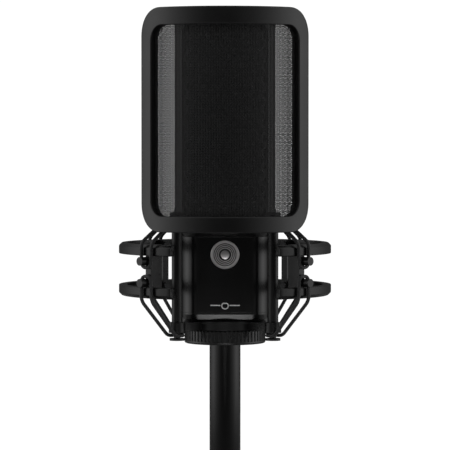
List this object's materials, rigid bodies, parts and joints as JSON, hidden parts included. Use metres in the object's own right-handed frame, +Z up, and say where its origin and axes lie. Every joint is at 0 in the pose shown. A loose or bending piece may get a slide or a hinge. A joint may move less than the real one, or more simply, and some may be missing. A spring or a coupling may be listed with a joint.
{
  "type": "condenser microphone in shock mount",
  "caption": "Side-address condenser microphone in an elastic shock mount, with a curved mesh pop filter, on a stand tube with a threaded socket.",
  "frame": {"origin": "centre of the mouth of the threaded socket at the stand tube's lower end", "axes": "+Z up along the stand tube, -Y towards the sound source that the microphone faces, +X to the right seen from the front"},
  "size_m": [0.123, 0.1602, 0.279],
  "materials": {
    "painted_shell": "satin black powder paint",
    "black_anodised": "satin black anodised",
    "frame_paint": "satin black paint",
    "tube_paint": "semi-gloss black paint",
    "black_mesh": "matt black woven wire",
    "grille_mesh": "matt black perforated steel",
    "elastic_cord": "braided black covering",
    "black_rubber": "matt",
    "badge_metal": "satin nickel, machined rings",
    "black_screws": "blackened steel",
    "steel": "plain steel",
    "brass_gold": "gold flashed",
    "board_green": "solder-masked laminate",
    "black_plastic": "fine moulded grain"
  },
  "bodies": {
    "stand": {"stand_tube": "tube_paint", "tube_socket": "tube_paint", "tube_stud": "tube_paint"},
    "swivel": {"swivel_base": "frame_paint"},
    "outer_frame": {"upper_ring": "frame_paint", "lower_ring": "frame_paint", "column_front_left": "frame_paint", "column_front_right": "frame_paint", "column_rear_left": "frame_paint", "column_rear_right": "frame_paint", "frame_screws": "black_screws", "yoke": "frame_paint", "pivot_bolt": "black_screws", "band_upper_front_left": "elastic_cord", "band_upper_front_right": "elastic_cord", "band_upper_rear_left": "elastic_cord", "band_upper_rear_right": "elastic_cord", "band_lower_front_left": "elastic_cord", "band_lower_front_right": "elastic_cord", "band_lower_rear_left": "elastic_cord", "band_lower_rear_right": "elastic_cord"},
    "knob": {"tension_knob": "black_plastic"},
    "cradle": {"cradle_hub": "black_anodised", "seat_pad": "black_rubber", "post_front_left": "black_anodised", "post_front_right": "black_anodised", "post_rear_left": "black_anodised", "post_rear_right": "black_anodised", "post_caps": "black_screws"},
    "collar": {"lock_collar": "black_anodised"},
    "microphone": {"base_cap": "painted_shell", "body_shell": "painted_shell", "head_frame": "painted_shell", "front_grille": "grille_mesh", "rear_grille": "grille_mesh", "inner_screen": "grille_mesh", "badge": "badge_metal", "switch_plate": "black_plastic", "connector_sleeve": "black_anodised", "connector_insert": "black_plastic", "contact_pins": "brass_gold", "base_screws": "black_screws", "backplate": "steel", "diaphragm": "brass_gold", "capsule_front_ring": "brass_gold", "capsule_rear_ring": "brass_gold", "capsule_screws": "steel", "capsule_pedestal": "black_plastic", "isolation_dampers": "black_rubber", "chassis": "steel", "circuit_board": "board_green", "board_parts": "black_plastic"},
    "pad_slider": {"pad_switch": "black_plastic"},
    "low_cut_slider": {"low_cut_switch": "black_plastic"},
    "pop_filter": {"pop_front_frame": "frame_paint", "pop_rear_frame": "frame_paint", "pop_mesh_front": "black_mesh", "pop_mesh_rear": "black_mesh", "pop_magnets": "steel"}
  },
  "joints": [
    {"name": "pan", "type": "hinge", "parent": "stand", "child": "swivel", "pos_m": [0, 0, 0.1], "axis": [0, 0, 1], "continuous": true},
    {"name": "tilt", "type": "hinge", "parent": "swivel", "child": "outer_frame", "pos_m": [0, 0, 0.13035], "axis": [1, 0, 0], "range_deg": [-90, 25]},
    {"name": "knob_turn", "type": "hinge", "parent": "outer_frame", "child": "knob", "pos_m": [0.018, 0, 0.13035], "axis": [1, 0, 0], "continuous": true},
    {"name": "suspension", "type": "slide", "parent": "outer_frame", "child": "cradle", "axis": [0, 0, 1], "range_m": [-0.003, 0.003], "stiffness_N_per_m": 1500, "springref_m": 0.004, "deforming": ["band_upper_front_left", "band_upper_front_right", "band_upper_rear_left", "band_upper_rear_right", "band_lower_front_left", "band_lower_front_right", "band_lower_rear_left", "band_lower_rear_right"]},
    {"name": "collar_lock", "type": "hinge", "parent": "cradle", "child": "collar", "pos_m": [0, -0.084, 0.09], "axis": [0, 0, 1], "range_deg": [0, 60]},
    {"name": "mic_lift", "type": "slide", "parent": "cradle", "child": "microphone", "axis": [0, 0, 1], "range_m": [0, 0.05]},
    {"name": "pad_slide", "type": "slide", "parent": "microphone", "child": "pad_slider", "axis": [1, 0, 0], "range_m": [0, 0.003]},
    {"name": "low_cut_slide", "type": "slide", "parent": "microphone", "child": "low_cut_slider", "axis": [1, 0, 0], "range_m": [0, 0.003]},
    {"name": "pop_pull", "type": "slide", "parent": "cradle", "child": "pop_filter", "axis": [0, -1, 0], "range_m": [0, 0.06]}
  ]
}
